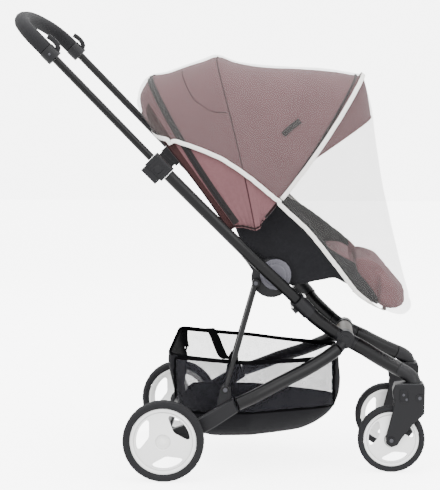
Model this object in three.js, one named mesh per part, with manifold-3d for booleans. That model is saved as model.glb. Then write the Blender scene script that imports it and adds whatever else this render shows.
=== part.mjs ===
// A mosquito net on a stroller: the net, the hood and seat under it, and the wheeled frame.
// Millimetres. X points forward, Y to the stroller's left, Z up. The floor is Z = 0.
import * as THREE from 'three';
import { mergeVertices } from 'three/addons/utils/BufferGeometryUtils.js';
import Module from 'manifold-3d';

const wasm = await Module();
wasm.setup();

// Driving dimensions. X is measured from the rear axle, which lies behind the middle of the length.
const rearAxleX = -118.55;
const gap = 0.3;

const wheelFacets = 28;
const rearWheel = { x: 0, y: 270, radius: 92.5, width: 36, rimRadius: 75.5, hubRadius: 17 };
const frontWheel = { x: 517, y: 146, radius: 77.5, width: 32, rimRadius: 63.5, hubRadius: 15 };
const wheelWindow = { inner: 0.44, outer: 0.8, halfAngle: 0.64, count: 3, firstAngle: 0.72 };

const sideY = 244;              // handle, clamps and main tubes at the top, each side of the middle
const axleBlockY = 234;
const gripRadius = 17.2;
const upperTubeRadius = 8.8;
const mainTubeRadius = 13.4;
const thickTubeRadius = 15.8;
const memberRadius = 13;
const legRadius = 17;
const strutRadius = 6;

const netThickness = 1.2;
const bindingWidth = 12;
const tapeThickness = 1.6;
const hoodInset = 8.5;            // hood cloth inside the net, middle to middle
const hoodThickness = 2;
const zipWidth = 15;

const seatHalfWidth = 145;
const seatWall = 12;
const legRestHalfWidth = 145;

// Finishes
function finish(color, roughness, metalness = 0) {
  return new THREE.MeshStandardMaterial({ color, roughness, metalness });
}
const netMesh = finish(0xd8d6d2, 0.9);
netMesh.transparent = true;
netMesh.opacity = 0.45;
const whiteBinding = finish(0xf3f1ee, 0.8);
const hoodCloth = finish(0xa5858a, 0.85);
const greyTape = finish(0x55535a, 0.75);
const blackCloth = finish(0x26252a, 0.9);
const pinkCloth = finish(0x9c7f82, 0.88);
const blackMetal = finish(0x2b2b2e, 0.45, 0.6);
const blackPlastic = finish(0x2c2c30, 0.5);
const greyPlastic = finish(0x6e6e78, 0.45);
const greigePlastic = finish(0x86837a, 0.5);
const foam = finish(0x38383b, 0.95);
const tyreRubber = finish(0x2e2e30, 0.9);
const whiteRim = finish(0xf2f2f2, 0.35);

const stroller = new THREE.Group();
stroller.position.x = rearAxleX;

// Geometry helpers
function vector(x, y, z) {
  return new THREE.Vector3(x, y, z);
}

function signedVolume(geometry) {
  const position = geometry.attributes.position;
  const index = geometry.index;
  const corner = [vector(0, 0, 0), vector(0, 0, 0), vector(0, 0, 0)];
  let volume = 0;
  for (let i = 0; i < index.count; i += 3) {
    corner.forEach((c, k) => c.fromBufferAttribute(position, index.getX(i + k)));
    volume += corner[0].dot(corner[1].clone().cross(corner[2])) / 6;
  }
  return volume;
}

// A closed geometry with shared points and its faces pointing out.
function closed(geometry) {
  const bare = geometry.clone();
  bare.deleteAttribute('normal');
  bare.deleteAttribute('uv');
  const merged = mergeVertices(bare, 1e-4);
  if (signedVolume(merged) < 0) {
    merged.setIndex(Array.from(merged.index.array).reverse());
  }
  return merged;
}

function solid(geometry) {
  const merged = closed(geometry);
  return new wasm.Manifold(new wasm.Mesh({
    numProp: 3,
    vertProperties: new Float32Array(merged.attributes.position.array),
    triVerts: new Uint32Array(merged.index.array),
  }));
}

function geometryOf(manifold) {
  const mesh = manifold.getMesh();
  const geometry = new THREE.BufferGeometry();
  geometry.setAttribute('position', new THREE.BufferAttribute(new Float32Array(mesh.vertProperties), 3));
  geometry.setIndex(Array.from(mesh.triVerts));
  return geometry;
}

function joined(...geometries) {
  return geometryOf(geometries.map(solid).reduce((whole, next) => whole.add(next)));
}

// A piece cut clear of others, less any crumbs the cut leaves.
function trimmed(geometry, ...others) {
  const body = others.map(solid).reduce((rest, other) => rest.subtract(other), solid(geometry));
  const largest = body.decompose().reduce((a, b) => (a.volume() > b.volume() ? a : b));
  return geometryOf(largest);
}

function mirrored(geometry) {
  const copy = geometry.clone();
  copy.scale(1, -1, 1);
  return closed(copy);
}

function add(name, geometry, material) {
  const mesh = new THREE.Mesh(closed(geometry), material);
  mesh.name = name;
  stroller.add(mesh);
}

// A left-hand piece and its mirror image on the right.
function addPair(name, geometry, material) {
  add(`${name}_left`, geometry, material);
  add(`${name}_right`, mirrored(geometry), material);
}

function roundSection(radius, sides, flatten = 1) {
  const points = [];
  for (let k = 0; k < sides; k += 1) {
    const angle = (2 * Math.PI * k) / sides;
    points.push(new THREE.Vector2(radius * Math.cos(angle), radius * flatten * Math.sin(angle)));
  }
  return new THREE.Shape(points);
}

// A bar or bent tube of one section along a route of points.
function tube(route, section, steps) {
  const points = route.map(([x, y, z]) => vector(x, y, z));
  const path = points.length === 2
    ? new THREE.LineCurve3(points[0], points[1])
    : new THREE.CatmullRomCurve3(points, false, 'centripetal');
  return new THREE.ExtrudeGeometry(section, { steps, extrudePath: path, bevelEnabled: false });
}

// A plate cut to an outline of [x, z] points, between two distances from the middle, edges eased.
function plate(outline, yLow, yHigh, ease = 0) {
  const shape = new THREE.Shape(outline.map(([x, z]) => new THREE.Vector2(x, z)));
  const geometry = new THREE.ExtrudeGeometry(shape, {
    depth: yHigh - yLow - 2 * ease,
    bevelEnabled: ease > 0,
    bevelThickness: ease,
    bevelSize: ease,
    bevelOffset: -ease,
    bevelSegments: 1,
  });
  geometry.rotateX(Math.PI / 2);
  geometry.translate(0, yHigh - ease, 0);
  return geometry;
}

function disc(x, z, radius, yLow, yHigh, sides, ease = 0) {
  const outline = [];
  for (let k = 0; k < sides; k += 1) {
    const angle = (2 * Math.PI * (k + 0.5)) / sides;
    outline.push([x + radius * Math.cos(angle), z + radius * Math.sin(angle)]);
  }
  return plate(outline, yLow, yHigh, ease);
}

// A block turned to lie along a tube: along and across are its reach each way from a point.
function blockOnTube(centre, direction, along, across, yLow, yHigh, ease) {
  const [dx, dz] = direction;
  const corner = (a, b) => [centre[0] + dx * a - dz * b, centre[1] + dz * a + dx * b];
  const outline = [
    corner(along[0], across[0]), corner(along[1], across[0]),
    corner(along[1], across[1]), corner(along[0], across[1]),
  ];
  return plate(outline, yLow, yHigh, ease);
}

// Cubic blend between the rows of a table, number by number.
function between(rows, v) {
  const last = rows.length - 1;
  const i = Math.min(Math.floor(v), last - 1);
  const t = v - i;
  const [a, b, c, d] = [rows[Math.max(i - 1, 0)], rows[i], rows[i + 1], rows[Math.min(i + 2, last)]];
  return b.map((value, k) => {
    const slopeStart = (c[k] - a[k]) / 2;
    const slopeEnd = (d[k] - b[k]) / 2;
    const rise = c[k] - b[k];
    return value + slopeStart * t + (3 * rise - 2 * slopeStart - slopeEnd) * t * t
      + (slopeStart + slopeEnd - 2 * rise) * t * t * t;
  });
}

// The cloth is laid over arches. A row of a table is one arch:
// base x, base z (foot of the arch), edge x, edge z (where the net's edge crosses it),
// apex x, apex z (its top, on the middle plane), half width, squareness, bow (forward).
function archPoint(row, u, inset, fromFoot) {
  const [baseX, baseZ, edgeX, edgeZ, apexX, apexZ, half, square, bow] = row;
  const axisX = apexX - baseX;
  const axisZ = apexZ - baseZ;
  const reach = Math.hypot(axisX, axisZ);
  const dirX = axisX / reach;
  const dirZ = axisZ / reach;
  const cut = ((edgeX - baseX) * dirX + (edgeZ - baseZ) * dirZ) / reach;
  const start = fromFoot ? 0 : Math.max(cut, 0);
  const startAngle = Math.atan2(start, (1 - start ** square) ** (1 / square));
  const angle = startAngle + u * (Math.PI - 2 * startAngle);
  const cos = Math.abs(Math.cos(angle));
  const sin = Math.abs(Math.sin(angle));
  const radius = (cos ** square + sin ** square) ** (-1 / square);
  const height = (reach - inset) * sin * radius;
  const share = height / reach;
  const forward = 4 * share * (1 - share) * bow;
  return vector(
    baseX + dirX * height + dirZ * forward,
    -Math.sign(Math.cos(angle)) * (half - inset) * cos * radius,
    baseZ + dirZ * height - dirX * forward,
  );
}

// Outward direction of a cloth surface at one place, from steps along and across it.
function outward(surface, v, u, vLow, vHigh, vStep = 0.02, uStep = 0.01) {
  const alongV = surface(Math.min(v + vStep, vHigh), u).sub(surface(Math.max(v - vStep, vLow), u));
  const alongU = surface(v, Math.min(u + uStep, 1)).sub(surface(v, Math.max(u - uStep, 0)));
  return alongV.cross(alongU).normalize();
}

// A closed thin sheet on a surface of rows (v) and places across (u).
function sheet(surface, vLow, vHigh, rows, columns, thickness) {
  const positions = [];
  const index = [];
  const wide = columns + 1;
  const layer = (rows + 1) * wide;
  for (const side of [0.5, -0.5]) {
    for (let i = 0; i <= rows; i += 1) {
      const v = vLow + ((vHigh - vLow) * i) / rows;
      for (let j = 0; j <= columns; j += 1) {
        const u = j / columns;
        const point = surface(v, u).addScaledVector(outward(surface, v, u, vLow, vHigh), side * thickness);
        positions.push(point.x, point.y, point.z);
      }
    }
  }
  const quad = (a, b, c, d) => index.push(a, b, c, a, c, d);
  for (let i = 0; i < rows; i += 1) {
    for (let j = 0; j < columns; j += 1) {
      const a = i * wide + j;
      quad(a, a + 1, a + wide + 1, a + wide);
      quad(layer + a + wide, layer + a + wide + 1, layer + a + 1, layer + a);
    }
  }
  for (let j = 0; j < columns; j += 1) {
    const top = rows * wide + j;
    quad(j + 1, j, layer + j, layer + j + 1);
    quad(top, top + 1, layer + top + 1, layer + top);
  }
  for (let i = 0; i < rows; i += 1) {
    const a = i * wide;
    const b = i * wide + columns;
    quad(a, a + wide, layer + a + wide, layer + a);
    quad(b + wide, b, layer + b, layer + b + wide);
  }
  const geometry = new THREE.BufferGeometry();
  geometry.setAttribute('position', new THREE.BufferAttribute(new Float32Array(positions), 3));
  geometry.setIndex(index);
  return geometry;
}

// A flat tape laid along stations, each a place and the outward direction there.
function tape(stations, width, thickness, lift, ring) {
  const count = stations.length;
  const positions = [];
  const index = [];
  stations.forEach(({ place, out }, k) => {
    const ahead = stations[ring ? (k + 1) % count : Math.min(k + 1, count - 1)].place;
    const behind = stations[ring ? (k + count - 1) % count : Math.max(k - 1, 0)].place;
    const along = ahead.clone().sub(behind).normalize();
    const across = out.clone().cross(along).normalize();
    const up = along.clone().cross(across).normalize();
    const low = lift;
    const high = lift + thickness;
    for (const [a, b] of [[-0.5, low], [0.5, low], [0.5, high], [-0.5, high]]) {
      const point = place.clone().addScaledVector(across, a * width).addScaledVector(up, b);
      positions.push(point.x, point.y, point.z);
    }
  });
  const quad = (a, b, c, d) => index.push(a, b, c, a, c, d);
  const spans = ring ? count : count - 1;
  for (let k = 0; k < spans; k += 1) {
    const a = 4 * k;
    const b = 4 * ((k + 1) % count);
    for (let side = 0; side < 4; side += 1) {
      const next = (side + 1) % 4;
      quad(a + side, a + next, b + next, b + side);
    }
  }
  if (!ring) {
    const end = 4 * (count - 1);
    quad(3, 2, 1, 0);
    quad(end, end + 1, end + 2, end + 3);
  }
  const geometry = new THREE.BufferGeometry();
  geometry.setAttribute('position', new THREE.BufferAttribute(new Float32Array(positions), 3));
  geometry.setIndex(index);
  return geometry;
}

// Wheels: a tyre and a dished rim with three curved windows. A facet of the tread is flat on the floor.
function turned(profile) {
  const points = profile.map(([radius, y]) => new THREE.Vector2(radius, y));
  return new THREE.LatheGeometry(points, wheelFacets, Math.PI / wheelFacets);
}

function axleHeight(wheel) {
  return wheel.radius * Math.cos(Math.PI / wheelFacets);
}

function tyre(wheel) {
  const bead = wheel.rimRadius + gap;
  const wall = wheel.radius - bead;
  const half = wheel.width / 2;
  return turned([
    [bead, -half * 0.62], [bead + wall * 0.5, -half], [wheel.radius, -half * 0.5],
    [wheel.radius, half * 0.5], [bead + wall * 0.5, half], [bead, half * 0.62],
    [bead, -half * 0.62],
  ]);
}

function windowOutline(wheel, turn) {
  const inner = wheel.rimRadius * wheelWindow.inner;
  const outer = wheel.rimRadius * wheelWindow.outer;
  const outline = [];
  const steps = 4;
  for (let k = 0; k <= steps; k += 1) {
    const angle = turn + wheelWindow.halfAngle * ((2 * k) / steps - 1);
    outline.push([outer * Math.cos(angle), outer * Math.sin(angle)]);
  }
  for (let k = steps - 1; k > 0; k -= 1) {
    const share = (2 * k) / steps - 1;
    const angle = turn + wheelWindow.halfAngle * share;
    const radius = inner + (outer - inner) * share * share * 0.75;
    outline.push([radius * Math.cos(angle), radius * Math.sin(angle)]);
  }
  return outline;
}

function rim(wheel) {
  const edge = wheel.rimRadius;
  const half = wheel.width / 2;
  const web = 3;
  let body = solid(turned([
    [0, half * 0.7], [wheel.hubRadius, half * 0.6],
    [edge * 0.84, web], [edge * 0.92, half * 0.6], [edge, half * 0.6],
    [edge, -half * 0.6], [edge * 0.9, -web],
    [wheel.hubRadius, -web], [wheel.hubRadius, -half], [0, -half],
  ]));
  for (let k = 0; k < wheelWindow.count; k += 1) {
    const turn = wheelWindow.firstAngle + (2 * Math.PI * k) / wheelWindow.count;
    body = body.subtract(solid(plate(windowOutline(wheel, turn), -half, half)));
  }
  return geometryOf(body);
}

function addWheels(name, wheel) {
  const place = (geometry) => geometry.translate(wheel.x, wheel.y, axleHeight(wheel));
  addPair(`${name}_tyre`, place(tyre(wheel)), tyreRubber);
  addPair(`${name}_rim`, place(rim(wheel)), whiteRim);
}

addWheels('rear', rearWheel);
addWheels('front', frontWheel);

// Handle: a bowed foam grip, a collar with a bag hook at each end, grooved upper tubes, and clamps.
const slope = [Math.SQRT1_2, -Math.SQRT1_2];
const collarPlace = [-251, 960];
const collarHalf = 14.5;
const gripDepth = 119;          // collar to the middle of the bow, up the slope
const gripDroop = 7;
const gripSquareness = 2.2;
function onCollar(distance) {
  return [collarPlace[0] + slope[0] * distance, sideY, collarPlace[1] + slope[1] * distance];
}
function gripRoute() {
  const steps = 18;
  const straight = collarHalf + 8;
  const left = onCollar(-collarHalf - gap);
  const points = [left];
  for (let k = 0; k <= steps; k += 1) {
    const angle = (Math.PI * k) / steps;
    const side = Math.sign(Math.cos(angle)) * Math.abs(Math.cos(angle)) ** (2 / gripSquareness);
    const rise = Math.sin(angle) ** (2 / gripSquareness);
    const along = straight + (gripDepth - straight) * rise;
    const droop = gripDroop * rise * rise * Math.SQRT1_2;
    points.push([collarPlace[0] - slope[0] * along - droop, side * sideY, collarPlace[1] - slope[1] * along - droop]);
  }
  points.push([left[0], -left[1], left[2]]);
  return points;
}
add('handle_grip', tube(gripRoute(), roundSection(gripRadius, 12), 22), foam);

const collarBody = tube([onCollar(-collarHalf), onCollar(collarHalf)], roundSection(gripRadius + 1.2, 14), 1);
const hookRoute = [[-241, sideY, 962], [-234, sideY, 968], [-235, sideY, 979], [-243, sideY, 990], [-257, sideY, 1000]];
const hook = tube(hookRoute, roundSection(3.2, 6, 2), 7);
addPair('handle_collar', joined(collarBody, hook), blackPlastic);

const clampPlace = [-8.5, 711.5];
function alongSlope(distance) {
  return [clampPlace[0] + slope[0] * distance, clampPlace[1] + slope[1] * distance];
}
const upperTop = [collarPlace[0] + 10.6, collarPlace[1] - 10.6];
const upperEnd = alongSlope(-25.4);
const groovedSection = new THREE.Shape([
  [-1, 0], [-0.86, 0.5], [-0.5, 0.86], [-0.2, 0.98], [-0.2, 0.75], [0.2, 0.75], [0.2, 0.98], [0.5, 0.86],
  [0.86, 0.5], [1, 0], [0.86, -0.5], [0.5, -0.86], [0, -1], [-0.5, -0.86], [-0.86, -0.5],
].map(([x, y]) => new THREE.Vector2(x * upperTubeRadius, y * upperTubeRadius)));
function upperTube() {
  const run = vector(upperEnd[0] - upperTop[0], 0, upperEnd[1] - upperTop[1]);
  const downhill = run.clone().normalize();
  const outer = vector(0, 1, 0);
  const turn = new THREE.Matrix4().makeBasis(outer.clone().cross(downhill), outer, downhill);
  const bar = new THREE.ExtrudeGeometry(groovedSection, { depth: run.length() - 3 * gap, bevelEnabled: false });
  bar.applyMatrix4(turn);
  bar.translate(upperTop[0] + downhill.x * 2 * gap, sideY, upperTop[1] + downhill.z * 2 * gap);
  return bar;
}
addPair('upper_tube', upperTube(), blackMetal);

const clampBlock = blockOnTube(clampPlace, slope, [-25, 27.5], [-20, 17], sideY - 17, sideY + 18, 2);
const clampBox = blockOnTube(clampPlace, slope, [-22.5, 22], [-35, -18], sideY - 14, sideY + 15, 1.5);
const clampRing = disc(clampPlace[0] - 2, clampPlace[1] - 7, 9, sideY + 16, sideY + 20, 12, 0.8);
addPair('tube_clamp', joined(clampBlock, clampBox, clampRing), blackPlastic);

// Side frames. The tubes run apart past the seat and close in on the hubs at the front.
const hubPlace = [411, 300.6];
const hubRadius = 21.5;
const hubInner = 72;
const mainStart = alongSlope(28);
const mainRoute = [
  [mainStart[0], sideY, mainStart[1]], [56, sideY, 647], [100, 243, 603], [140, 239, 563], [174, 231, 528],
  [206, 216, 495], [239, 199, 462], [269, 182, 432], [296.6, 164.7, 402.9],
];
addPair('main_tube', tube(mainRoute, roundSection(mainTubeRadius, 12), 8), blackMetal);

const knuckleRoute = [[297.1, 164.3, 402.3], [326.6, 143.3, 369.9]];
const knuckleTab = blockOnTube([308, 388], [0.673, -0.739], [-9, 8], [-23, -12], 148, 160, 1);
const knuckleBody = tube(knuckleRoute, roundSection(thickTubeRadius + 2.2, 14), 1);
addPair('fold_knuckle', joined(knuckleBody, knuckleTab), blackPlastic);

const thickRoute = [[327.2, 142.9, 369.3], [340.5, 133.4, 354.7], [359, 119, 338.5], [372, 109.5, 327.5], [385, 101.5, 317]];
addPair('lower_tube', tube(thickRoute, roundSection(thickTubeRadius, 12), 4), blackMetal);

const hubDisc = disc(hubPlace[0], hubPlace[1], hubRadius, hubInner, 112, 14, 2);
const hubCap = disc(hubPlace[0], hubPlace[1], 12, 111, 115, 12);
const hubSockets = [
  tube([[385.3, 101.3, 316.8], [404, 92, 305]], roundSection(thickTubeRadius, 10), 1),
  tube([[437.2, 95.6, 287.6], [418, 91, 297]], roundSection(legRadius, 10), 1),
  tube([[393.4, 114.7, 279.8], [406, 101, 293]], roundSection(memberRadius, 10, 1.19), 1),
];
add('hub_cross_tube', disc(hubPlace[0], hubPlace[1], 19, gap - hubInner, hubInner - gap, 16), greigePlastic);

const legRoute = [[437.5, 95.7, 287.4], [452, 100.7, 280.4], [485, 112, 261.5], [518, 124, 244.5], [535.6, 131, 236.1]];
addPair('front_leg', tube(legRoute, roundSection(legRadius, 12), 5), blackMetal);

// The elbow stands on the swivel block.
const yokeTop = 209;
const elbowRoute = [[536.3, 131.3, 235.7], [549, 137, 229.5], [560, 142, 222], [567, 145, 213], [570, 146, 198]];
const belowElbow = plate([[500, 100], [640, 100], [640, yokeTop + gap], [500, yokeTop + gap]], 90, 200);
addPair('leg_elbow', trimmed(tube(elbowRoute, roundSection(legRadius, 12), 6), belowElbow), blackPlastic);

const memberRoute = [
  [393, 115, 279.5], [376, 123, 267.5], [348, 141, 252], [307, 164, 232], [261, 192, 213], [212, 216, 190],
  [182, 228, 177], [165.5, 232.4, 170.6],
];
const memberSection = roundSection(memberRadius, 12, 1.19);
addPair('lower_member', tube(memberRoute, memberSection, 8), blackMetal);

const hubBody = trimmed(
  joined(hubDisc, hubCap, ...hubSockets),
  tube(thickRoute, roundSection(thickTubeRadius + 2 * gap, 12), 4),
  tube(legRoute, roundSection(legRadius + 2 * gap, 12), 5),
  tube(memberRoute, roundSection(memberRadius + 2 * gap, 12, 1.19), 8),
);
addPair('frame_hub', hubBody, blackPlastic);

// Rear end: the axle block with the strut's lug, the cross axle, and the strut up to the seat's housing.
const axleZ = axleHeight(rearWheel);
const axleOutline = [
  [155.3, 184.3], [167.9, 153.7], [118, 120], [70, 92], [20, 74], [-8, 76], [-19, 90],
  [-12, 107], [20, 114], [60, 128], [108, 156],
];
const axleArm = plate(axleOutline, axleBlockY - 11.7, axleBlockY + 11.5, 3);
const axleBoss = disc(0, axleZ, 20, axleBlockY, rearWheel.y - rearWheel.width / 2 - gap, 18, 1);
const strutFoot = [139, 206];
const lugOutline = [[118, 158], [152, 176], [150, 206], [143, 216], [133, 216], [127, 206]];
const strutLug = plate(lugOutline, axleBlockY - 11.7, axleBlockY, 1);
addPair('axle_block', joined(axleArm, axleBoss, strutLug), blackPlastic);

add('rear_axle', disc(0, axleZ, 8, 12 - axleBlockY, axleBlockY - 12, 14), blackMetal);

const housingPlace = [240, 450];
const housingFace = 157;
const seatPivot = [250, 458];
const strutHead = [205.5, 439.5];
const strutBar = tube(
  [[strutFoot[0], sideY, strutFoot[1]], [strutHead[0], housingFace + 11, strutHead[1]]],
  roundSection(strutRadius, 8), 1,
);
const strutFootBoss = disc(strutFoot[0], strutFoot[1], 9.5, axleBlockY + gap, sideY + 8, 12);
const strutHeadBoss = disc(strutHead[0], strutHead[1], 9.5, housingFace + gap, housingFace + 19, 12);
addPair('rear_strut', joined(strutBar, strutFootBoss, strutHeadBoss), blackMetal);

const housingDisc = disc(housingPlace[0], housingPlace[1], 46, 147, housingFace, 20, 2);
const housingBump = plate([[171, 500], [180, 490], [199, 463], [229, 483], [199, 508]], 148, housingFace - 1, 1);
const housingShaft = disc(seatPivot[0], seatPivot[1], 22, seatHalfWidth + gap, 149, 12);
addPair('pivot_housing', joined(housingDisc, housingBump, housingShaft), blackPlastic);
const pivotCover = disc(seatPivot[0], seatPivot[1], 36, housingFace + gap, 164, 18, 2);
const pivotDome = disc(seatPivot[0], seatPivot[1], 27, 163, 170, 14, 4);
addPair('pivot_cover', joined(pivotCover, pivotDome), greyPlastic);

// Front forks: a swivel block ahead of the wheel, and two plates down to its axle.
const forkZ = axleHeight(frontWheel);
const yokeOutline = [
  [521, 172], [519, 192], [524, 206], [544, yokeTop], [588, yokeTop], [593, 200],
  [592, 142], [584, 132], [571, 138], [556, 152], [536, 166],
];
const forkOutline = [
  [524, 172], [521, 150], [504, 86], [505, 70], [517, 61], [531, 66], [539, 80], [567, 116],
  [584, 131], [592, 140], [592, 178], [560, 190],
];
const yoke = plate(yokeOutline, frontWheel.y - 24, frontWheel.y + 24, 2);
const wheelSide = frontWheel.width / 2 + gap;
const outerPlate = plate(forkOutline, frontWheel.y + wheelSide, frontWheel.y + 24, 1);
const innerPlate = plate(forkOutline, frontWheel.y - 24, frontWheel.y - wheelSide, 1);
const yokeNut = disc(581, 176, 9, frontWheel.y + 22, frontWheel.y + 26, 8);
const axleNut = disc(frontWheel.x, forkZ, 8, frontWheel.y + 22, frontWheel.y + 27, 8);
addPair('front_fork', joined(yoke, outerPlate, innerPlate, yokeNut, axleNut), blackPlastic);

// Seat: a black bucket with side wings, a pad in it, a pink leg rest and the board under it.
const seatOutline = [
  [34, 752], [58, 720], [108, 656], [134, 606], [162, 566], [212, 496], [246, 452], [287, 427],
  [336, 440], [386, 449], [413, 434], [432, 424], [455, 408], [470, 401], [484, 393], [487, 400], [476, 419],
  [466, 436], [455, 452], [448, 470], [441, 489], [420, 509], [388, 536], [345, 569], [313, 591], [275, 613],
  [246, 648], [196, 718], [140, 772], [96, 798], [58, 790],
];
const seatHollow = [
  [56, 900], [60, 762], [76, 740], [128, 672], [156, 622], [184, 582], [234, 514], [262, 484], [292, 468],
  [340, 476], [392, 482], [434, 478], [434, 380], [560, 380], [560, 700], [300, 900],
];
// The right side of the seat sags lower than the left.
const sagOutline = [
  [330, 620], [330, 572], [350, 546], [375, 517], [400, 500], [432, 486], [442, 459], [465, 433], [480, 414],
  [500, 430], [500, 620],
];
const seatBody = solid(plate(seatOutline, -seatHalfWidth, seatHalfWidth, 4))
  .subtract(solid(plate(seatHollow, seatWall - seatHalfWidth, seatHalfWidth - seatWall)))
  .subtract(solid(plate(sagOutline, -200, -seatHalfWidth / 2)));
add('seat_bucket', geometryOf(seatBody), blackCloth);

const padOutline = [
  [62, 764], [78, 742], [130, 674], [158, 624], [186, 584], [236, 516], [263, 486], [293, 470],
  [340, 478], [392, 484], [424, 480], [424, 497], [392, 504], [340, 500], [302, 494], [280, 504],
  [254, 530], [206, 598], [178, 640], [150, 692], [96, 762], [80, 782],
];
add('seat_pad', plate(padOutline, seatWall + 1 - seatHalfWidth, seatHalfWidth - seatWall - 1, 3), blackCloth);

const legRestOutline = [
  [436.6, 428], [472, 405], [498, 388], [520, 377], [541, 371], [551, 373], [556, 382], [552, 394],
  [530, 416], [502, 448], [478, 475], [456, 494], [437, 497],
];
// Seen from above it is narrow between the seat's sides and rounded at the front: [x, half width].
const legRestPlan = [
  [430, 131], [490, 131], [492, 144], [508, 142], [524, 134], [536, 120], [545, 100], [551, 76], [556, 50],
];
function legRest() {
  const corners = legRestPlan.concat(legRestPlan.slice().reverse().map(([x, y]) => [x, -y]));
  const shape = new THREE.Shape(corners.map(([x, y]) => new THREE.Vector2(x, y)));
  const fromAbove = new THREE.ExtrudeGeometry(shape, { depth: 600, bevelEnabled: false });
  const slab = plate(legRestOutline, -legRestHalfWidth, legRestHalfWidth, 7);
  return geometryOf(solid(slab).intersect(solid(fromAbove)));
}
add('leg_rest', legRest(), pinkCloth);
const boardOutline = [[426, 415], [436, 423], [470, 401.5], [486, 391.5], [483, 386], [462, 395.5]];
add('foot_board', plate(boardOutline, -130, 130, 1), blackPlastic);

// Basket: a bag of black mesh below the seat. A row is one level ring, from the rim down:
// rear x, front x, rear z, front z, half width, squareness.
const basketRings = [
  [6, 396, 281, 262, 214, 9],
  [4, 398, 256, 236, 213, 9],
  [12, 401, 214, 200, 209, 9],
  [22, 398, 170, 164, 201, 8],
  [34, 380, 126, 126, 186, 6.5],
  [52, 350, 94, 98, 160, 5],
  [84, 322, 77, 82, 130, 4],
];
const basketSag = 9;            // of the rim's sides, between its corners
const basketTaper = 0.56;       // share of the width lost at the front, between the members
const basketThickness = 2;
const basketSides = 24;

function ringPoint(row, angle, inset) {
  const [rearX, frontX, rearZ, frontZ, half, square] = row;
  const cos = Math.cos(angle);
  const sin = Math.sin(angle);
  const radius = (Math.abs(cos) ** square + Math.abs(sin) ** square) ** (-1 / square);
  const share = cos * radius;
  const x = (frontX + rearX) / 2 + share * ((frontX - rearX) / 2 - inset);
  const narrowing = 1 - basketTaper * Math.max(share + 0.1, 0) / 1.1;
  const y = sin * radius * (half * narrowing - inset);
  const sag = row === basketRings[0] ? basketSag * (1 - share * share) : 0;
  return [x, y, (frontZ + rearZ) / 2 + (share * (frontZ - rearZ)) / 2 - sag];
}

function basket() {
  const layers = [];
  for (const row of basketRings) {
    layers.push({ row, inset: 0, lift: 0 });
  }
  for (const row of basketRings.slice().reverse()) {
    layers.push({ row, inset: basketThickness, lift: row === basketRings[0] ? 0 : basketThickness });
  }
  const positions = [];
  const index = [];
  layers.forEach(({ row, inset, lift }) => {
    for (let k = 0; k < basketSides; k += 1) {
      const [x, y, z] = ringPoint(row, (2 * Math.PI * (k + 0.5)) / basketSides, inset);
      positions.push(x, y, z + lift);
    }
  });
  const count = basketRings.length;
  for (let layer = 0; layer < 2 * count; layer += 1) {
    if (layer === count - 1) {
      continue;
    }
    const a = layer * basketSides;
    const b = ((layer + 1) % (2 * count)) * basketSides;
    for (let k = 0; k < basketSides; k += 1) {
      const next = (k + 1) % basketSides;
      index.push(a + k, a + next, b + next, a + k, b + next, b + k);
    }
  }
  for (const layer of [count - 1, count]) {
    const ring = layer * basketSides;
    for (let k = 1; k < basketSides - 1; k += 1) {
      const fan = layer === count - 1 ? [ring, ring + k, ring + k + 1] : [ring, ring + k + 1, ring + k];
      index.push(...fan);
    }
  }
  const geometry = new THREE.BufferGeometry();
  geometry.setAttribute('position', new THREE.BufferAttribute(new Float32Array(positions), 3));
  geometry.setIndex(index);
  return geometry;
}
add('basket', basket(), blackCloth);

const strapRoute = [
  [81, 212, 275], [96, 130, 269], [112, 10, 262], [127, -110, 261], [141, -210, 270],
];
const strapStations = strapRoute.map(([x, y, z]) => ({ place: vector(x, y, z), out: vector(0, 0, 1) }));
add('basket_strap', tape(strapStations, 22, 2, 0, false), blackCloth);

// Net and hood arches, from the back of the net to the hood's front hoop.
const hoodArches = [
  [8, 766, 8, 766, -37, 779, 188, 2.3, 0],
  [60, 702, 13, 766, -74, 836, 199, 2.4, 0],
  [110, 640, 19, 764, -75, 860, 202, 2.6, 0],
  [140, 600, 21, 764, -67, 886, 203, 2.8, -2],
  [163, 575, 45, 761, -47, 907, 201, 3, -6],
  [178, 568, 82, 745, -10, 916, 200, 3, -2],
  [190, 565, 123, 725, 36, 932, 200, 3, 2],
  [199, 563, 153, 705, 75, 945, 202, 3, 5],
  [205, 562, 173, 691, 108, 955, 205, 3, 6],
  [215, 567, 196, 677, 150, 941, 202, 3, 3],
  [217, 572, 214, 663, 205, 932, 200, 3, 2],
  [217, 575, 229, 650, 275, 928, 200, 3, 4],
  [218, 579, 243, 639, 360, 923, 202, 3, 8],
  [220, 583, 254, 633, 449, 910, 205, 3, 12],
];
// Net arches from the front hoop down to the gathered edge under the leg rest.
const frontArches = [
  hoodArches[13],
  [240, 600, 270, 615, 456, 886, 204, 3, 9],
  [274, 590, 289, 597, 464, 856, 202, 3, 6],
  [309, 577, 309, 577, 471, 823, 199, 3, 3],
  [331, 554, 331, 554, 476, 785, 196, 3, 0],
  [350, 531, 350, 531, 482, 740, 193, 3, 0],
  [367, 509, 367, 509, 490, 692, 190, 3, 0],
  [380, 492, 380, 492, 499, 643, 187, 3, 0],
  [391, 478, 391, 478, 510, 594, 184, 3.1, 0],
  [402, 463, 402, 463, 521, 547, 181, 3.2, 0],
  [411, 451, 411, 451, 532, 502, 178, 3.3, 0],
  [419, 440, 419, 440, 543, 459, 175, 3.4, 0],
  [426, 431, 426, 431, 553, 421, 173, 3.6, 0],
  [430, 426, 430, 426, 561, 390, 171, 3.8, 0],
  [432, 423, 432, 423, 565, 377, 170, 4, 0],
  [433.5, 421, 433.5, 421, 559, 365, 169, 4, 0],
  [434.5, 419.5, 434.5, 419.5, 545, 358, 168, 4, 0],
  [435.2, 418.5, 435.2, 418.5, 522, 363, 168, 4, 0],
  [436, 417.5, 436, 417.5, 503, 372, 168, 4, 0],
];
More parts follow.
